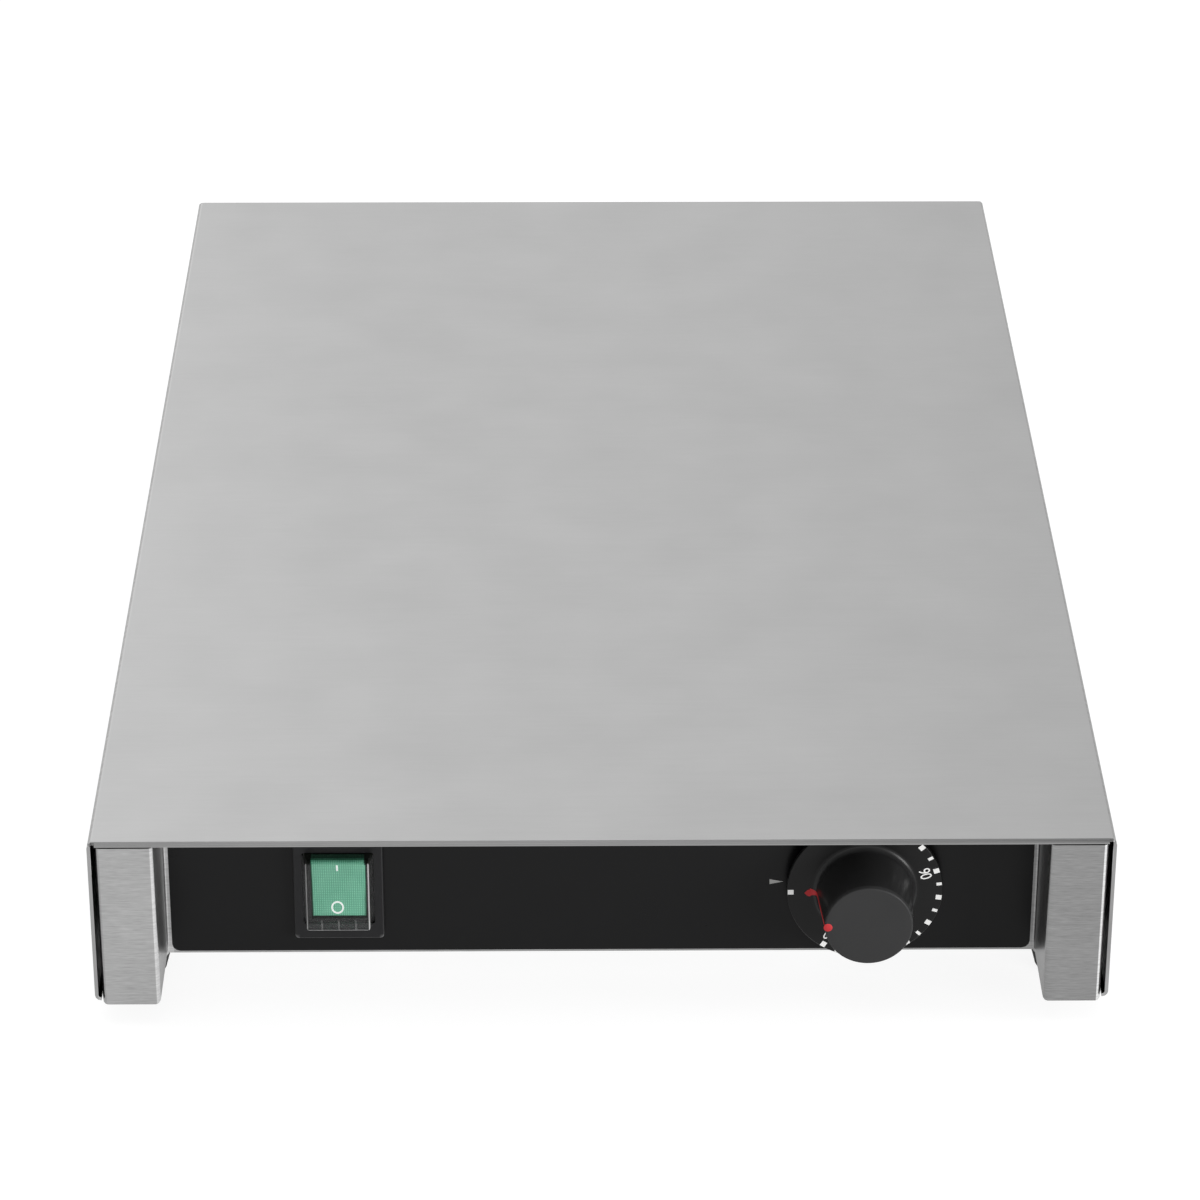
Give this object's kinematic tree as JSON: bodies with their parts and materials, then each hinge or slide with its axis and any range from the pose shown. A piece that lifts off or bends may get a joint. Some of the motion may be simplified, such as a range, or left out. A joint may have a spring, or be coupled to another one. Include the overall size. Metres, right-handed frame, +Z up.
{
  "type": "electric food warmer tray",
  "caption": "Flat electric warming tray: folded steel cover over a heating mat, recessed front with a splash-covered rocker switch and a thermostat dial, on rubber feet.",
  "frame": {"origin": "on the table, under the centre of the tray's outer box", "axes": "+Z up, -Y towards the user's side with the switch and dial, +X to the right seen from there"},
  "size_m": [0.345, 0.55, 0.072],
  "materials": {
    "brushed_steel": "horizontally brushed stainless sheet",
    "zinc_plated_steel": "bright zinc plating",
    "brass": "bare drawn brass",
    "label_black": "satin black printed film",
    "knob_black": "fine matte moulding",
    "switch_black": "smooth moulding",
    "rocker_green": "translucent green moulding",
    "clear_plastic": "clear flexible plastic",
    "black_rubber": "matte moulded rubber",
    "heater_silicone": "woven-backed silicone",
    "insulation_wool": "needled fibre mat",
    "brown_phenolic": "moulded phenolic",
    "cream_polyamide": "moulded polyamide",
    "copper": "bare drawn copper",
    "lead_brown": "silicone sleeve",
    "lead_blue": "silicone sleeve",
    "lead_green_yellow": "silicone sleeve"
  },
  "bodies": {
    "tray": {"base_plate": "zinc_plated_steel", "base_screw_front_left": "zinc_plated_steel", "base_screw_front_right": "zinc_plated_steel", "base_screw_rear_left": "zinc_plated_steel", "base_screw_rear_right": "zinc_plated_steel", "cable_gland": "switch_black", "capillary_tube": "copper", "control_label": "label_black", "earth_nut": "brass", "earth_screw": "zinc_plated_steel", "foot_front_left": "black_rubber", "foot_front_right": "black_rubber", "foot_rear_left": "black_rubber", "foot_rear_right": "black_rubber", "foot_screw_front_left": "zinc_plated_steel", "foot_screw_front_right": "zinc_plated_steel", "foot_screw_rear_left": "zinc_plated_steel", "foot_screw_rear_right": "zinc_plated_steel", "front_panel": "brushed_steel", "gland_dome_nut": "switch_black", "gland_locknut": "switch_black", "gland_seal": "black_rubber", "heating_mat": "heater_silicone", "insulation": "insulation_wool", "lead_cutout_to_heater": "lead_brown", "lead_earth": "lead_green_yellow", "lead_live": "lead_brown", "lead_neutral": "lead_blue", "lead_neutral_to_heater": "lead_blue", "lead_switch_to_thermostat": "lead_brown", "lead_thermostat_to_cutout": "lead_brown", "rear_panel": "brushed_steel", "retainer_nut_left": "zinc_plated_steel", "retainer_nut_right": "zinc_plated_steel", "retaining_plate": "zinc_plated_steel", "sensor_bulb": "copper", "splash_cap": "clear_plastic", "splash_frame": "switch_black", "standoff_front_left": "zinc_plated_steel", "standoff_front_right": "zinc_plated_steel", "standoff_rear_left": "zinc_plated_steel", "standoff_rear_right": "zinc_plated_steel", "switch_housing": "switch_black", "switch_terminal_lower_left": "brass", "switch_terminal_lower_right": "brass", "switch_terminal_upper_left": "brass", "switch_terminal_upper_right": "brass", "terminal_block": "cream_polyamide", "terminal_block_screw": "zinc_plated_steel", "thermal_cutout": "zinc_plated_steel", "thermostat_body": "brown_phenolic", "thermostat_screw_left": "zinc_plated_steel", "thermostat_screw_right": "zinc_plated_steel", "thermostat_terminal_left": "brass", "thermostat_terminal_right": "brass", "top_cover": "brushed_steel"},
    "dial": {"knob": "knob_black", "thermostat_spindle": "zinc_plated_steel"},
    "rocker_key": {"rocker": "rocker_green"}
  },
  "joints": [
    {"name": "dial_turn", "type": "hinge", "parent": "tray", "child": "dial", "pos_m": [0.0903, -0.25, 0.0375], "axis": [0, 1, 0], "range_deg": [0, 245]},
    {"name": "rocker_tilt", "type": "hinge", "parent": "tray", "child": "rocker_key", "pos_m": [-0.0903, -0.2396, 0.0375], "axis": [-1, 0, 0], "range_deg": [0, 16]}
  ]
}
